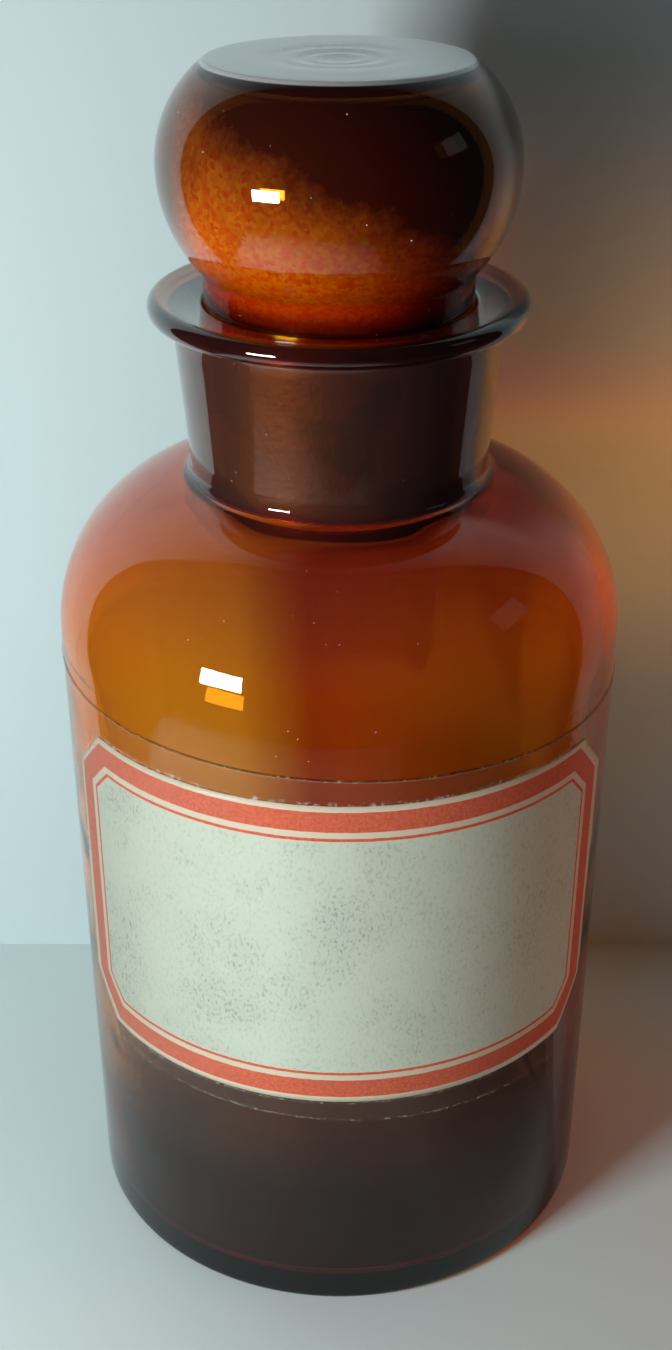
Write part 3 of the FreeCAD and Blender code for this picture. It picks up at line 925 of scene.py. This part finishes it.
def make_film():
    """The film, a drum cut to a leaning band and raised over the label."""
    reach = BODY_R * math.sin(math.radians(FILM_LEAN)) + FILM_SPARE
    low = (FILM_R, FILM_BOTTOM_Z - reach)
    high = (FILM_R, FILM_BOTTOM_Z + FILM_HEIGHT + reach)
    film = start_outline("film", low)
    draw_line(low, high, runs=44)
    turn_on_lathe(film, steps=256)
    up = leaning(FILM_LEAN)[1]
    bottom = [0, 0, FILM_BOTTOM_Z * MM]
    top = [b + u * FILM_HEIGHT * MM for b, u in zip(bottom, up)]
    cut_away(bottom, [-u for u in up])
    cut_away(top, up)
    for margin in (FILM_TENT, FILM_FOLD):
        for point, facing in label_planes(margin):
            pick(film, lambda x, y, z: y < 0)
            bpy.ops.mesh.bisect(plane_co=point, plane_no=facing)
    raised = label_planes(FILM_RAISED)
    pick(
        film,
        lambda x, y, z: y < 0
        and all(
            sum((c * MM - p) * f for c, p, f in zip((x, y, z), point, facing)) < 0
            for point, facing in raised
        ),
    )
    lift = FILM_OVER_LABEL_R / FILM_R
    bpy.ops.transform.resize(value=(lift, lift, 1), center_override=(0, 0, 0))
    face_outwards(film)
    thicken(film, FILM_THICKNESS)
    return film


bottle = make_bottle()
finish_piece(bottle, blown_amber_glass(), "bottle_body", "bottle")
stopper = make_stopper()
finish_piece(stopper, stopper_glass(), "stopper_body", "stopper")
label = make_label()
finish_piece(label, printed_paper(), "bottle_body", "paper_label")
film = make_film()
finish_piece(film, clear_film(), "bottle_body", "protective_film")


# Pale emulsion paint, rolled: matt. In the glass's gloss it ends at its edges, each of them a direction,
# how far it reaches that way and over what it fades; through glass it has a colour of its own; from
# behind it is clear; and far off it turns to the room's tone, which lights nothing.
def pale_paint(name, colour, colour_through_glass, edges):
    material, tree = new_material(name)
    where = node(tree, "NewGeometry", out="Position")
    through = node(tree, "LightPath", out="Is Transmission Ray")
    paint = node(
        tree,
        "Mix",
        {0: through, FIRST: linear(colour), SECOND: linear(colour_through_glass)},
        out=MIXED,
        data_type="RGBA",
    )
    beyond = 0.0
    for way, reach, fade in edges:
        along = node(tree, "VectorMath", {0: where, 1: way}, out="Value", operation="DOT_PRODUCT")
        past = node(tree, "MapRange", {"Value": along, "From Min": reach, "From Max": reach + fade})
        beyond = node(tree, "Math", {0: past, 1: beyond}, operation="MAXIMUM")
    gloss = node(tree, "LightPath", out="Is Glossy Ray")
    unlit = node(tree, "Math", {0: beyond, 1: gloss}, operation="MULTIPLY")
    behind = node(tree, "NewGeometry", out="Backfacing")
    gone = node(tree, "Math", {0: unlit, 1: behind}, operation="MAXIMUM")
    pale = node(tree, "BsdfPrincipled", {"Base Color": paint, "Roughness": 0.75})
    distance = node(tree, "VectorMath", {0: where}, out="Value", operation="LENGTH")
    far = node(tree, "MapRange", {"Value": distance, "From Min": FAR[0], "From Max": FAR[1]})
    seen = node(tree, "LightPath", out="Is Camera Ray")
    dimmed = node(tree, "Math", {0: through, 1: FAR_THROUGH_GLASS}, operation="MULTIPLY")
    looked_at = node(tree, "Math", {0: seen, 1: dimmed}, operation="MAXIMUM")
    far_off = node(tree, "Math", {0: far, 1: looked_at}, operation="MULTIPLY")
    room = node(tree, "Emission", {"Color": linear(ROOM), "Strength": ROOM_STRENGTH})
    whole = node(tree, "MixShader", {0: far_off, 1: pale, 2: room})
    clear = node(tree, "BsdfTransparent")
    surface = node(tree, "MixShader", {0: gone, 1: whole, 2: clear})
    material.cycles.emission_sampling = "NONE"
    node(tree, "OutputMaterial", {"Surface": surface})
    return material


def make_studio():
    """The floor, a pale table top, and a pale board behind the bottle that throws no shadow."""
    bpy.ops.object.select_all(action="DESELECT")
    bpy.ops.mesh.primitive_plane_add(size=STUDIO_SIZE, location=(0, 0, FLOOR_Z))
    floor = bpy.context.object
    floor.name = "floor"
    table_edges = (
        ((0, -1, 0), -TABLE_EDGE, CUT_EDGE),
        ((0, -1, 0), -TABLE_FRONT, TABLE_FRONT_FADE),
        ((-1, TABLE_SKEW, 0), -TABLE_LEFT, TABLE_LEFT_FADE),
        ((1, 0, 0), TABLE_RIGHT, TABLE_RIGHT_FADE),
    )
    floor.data.materials.append(pale_paint("pale table top", "#e4f4f4", "#e4f4f4", table_edges))
    bpy.ops.mesh.primitive_plane_add(
        size=STUDIO_SIZE, location=(0, BOARD_Y, BOARD_MIDDLE_Z), rotation=(math.pi / 2, 0, 0)
    )
    board = bpy.context.object
    board.name = "backdrop"
    board.visible_shadow = False
    board_edges = (((-1, 0, 0), -BOARD_LEFT, CUT_EDGE), ((1, 0, 0), BOARD_RIGHT, CUT_EDGE))
    board.data.materials.append(pale_paint("pale backdrop", "#d8ecee", "#fbf8ee", board_edges))


def add_lamp(name, place, aim, size, energy, colour="#ffffff", hidden_from=()):
    """A rectangular lamp at a place, aimed at a point, that the camera and some kinds of ray don't see."""
    bpy.ops.object.light_add(type="AREA", location=place)
    lamp = bpy.context.object
    lamp.name = name
    lamp.data.shape = "RECTANGLE"
    lamp.data.size, lamp.data.size_y = size
    lamp.data.energy = energy
    lamp.data.color = linear(colour)[:3]
    way = Vector(aim) - Vector(place)
    lamp.rotation_euler = way.to_track_quat("-Z", "Y").to_euler()
    for rays in ("camera", *hidden_from):
        setattr(lamp, "visible_" + rays, False)
    return lamp


def make_lamps():
    """The key that gives the highlights, a wide fill, the warm light that amber throws, a far window."""
    unmirrored = ("glossy", "transmission")
    add_lamp(
        "key panel", place=(-0.185, -0.20, 0.144), aim=(0, 0, 0.12), size=(0.078, 0.044), energy=0.65
    )
    add_lamp(
        "front fill",
        place=(-0.45, -0.75, 0.18),
        aim=(0, 0, 0.08),
        size=(0.5, 0.3),
        energy=0.42,
        hidden_from=unmirrored,
    )
    add_lamp(
        "amber glow",
        place=(0.11, -0.055, 0.075),
        aim=(0.03, -0.02, 0.07),
        size=(0.03, 0.06),
        energy=0.013,
        colour="#ff8a3c",
        hidden_from=unmirrored,
    )
    gold = add_lamp(
        "gold on the board",
        place=(0.1, 0.0, 0.13),
        aim=(0.085, 0.057, 0.112),
        size=(0.05, 0.02),
        energy=0.008,
        colour="#ff9a20",
        hidden_from=unmirrored,
    )
    gold.data.spread = math.radians(110)
    add_lamp(
        "far window",
        place=(0.458, -0.09, 0.361),
        aim=(0.023, -0.03, 0.121),
        size=(0.14, 0.1),
        energy=0.006,
        hidden_from=("diffuse",),
    )


def make_room():
    """The world: pale to the camera, and otherwise dim, a little brighter on the left."""
    world = bpy.data.worlds.new("room")
    bpy.context.scene.world = world
    world.use_nodes = True
    tree = world.node_tree
    tree.nodes.clear()
    way = node(tree, "TexCoord", out="Generated")
    sideways = node(tree, "SeparateXYZ", {0: way}, out="X")
    level = node(
        tree,
        "MapRange",
        {"Value": sideways, "From Min": -1.0, "From Max": 0.6, "To Min": 0.06, "To Max": 0.02},
    )
    seen = node(tree, "LightPath", out="Is Camera Ray")
    strength = node(tree, "Mix", {0: seen, 2: level, 3: ROOM_STRENGTH})
    sky = node(tree, "Background", {"Color": linear(ROOM), "Strength": strength})
    node(tree, "OutputWorld", {"Surface": sky})


def make_camera():
    """The camera, at the place, tilt and framing that were fitted to the bottle's outlines."""
    bpy.ops.object.camera_add(
        location=(0, -0.24883, 0.22732), rotation=(math.radians(57.97), 0, 0)
    )
    camera = bpy.context.object
    camera.data.sensor_fit = "AUTO"
    camera.data.sensor_width = 36.0
    camera.data.lens = 47.0
    camera.data.shift_x = -0.0024
    camera.data.shift_y = 0.0938
    camera.data.clip_start = 0.01
    bpy.context.scene.camera = camera


make_studio()
make_lamps()
make_room()
make_camera()
scene = bpy.context.scene
scene.view_settings.view_transform = "Standard"
scene.cycles.caustics_refractive = False
scene.cycles.caustics_reflective = False
scene.cycles.max_bounces = 24
scene.cycles.transmission_bounces = 24
scene.cycles.transparent_max_bounces = 32
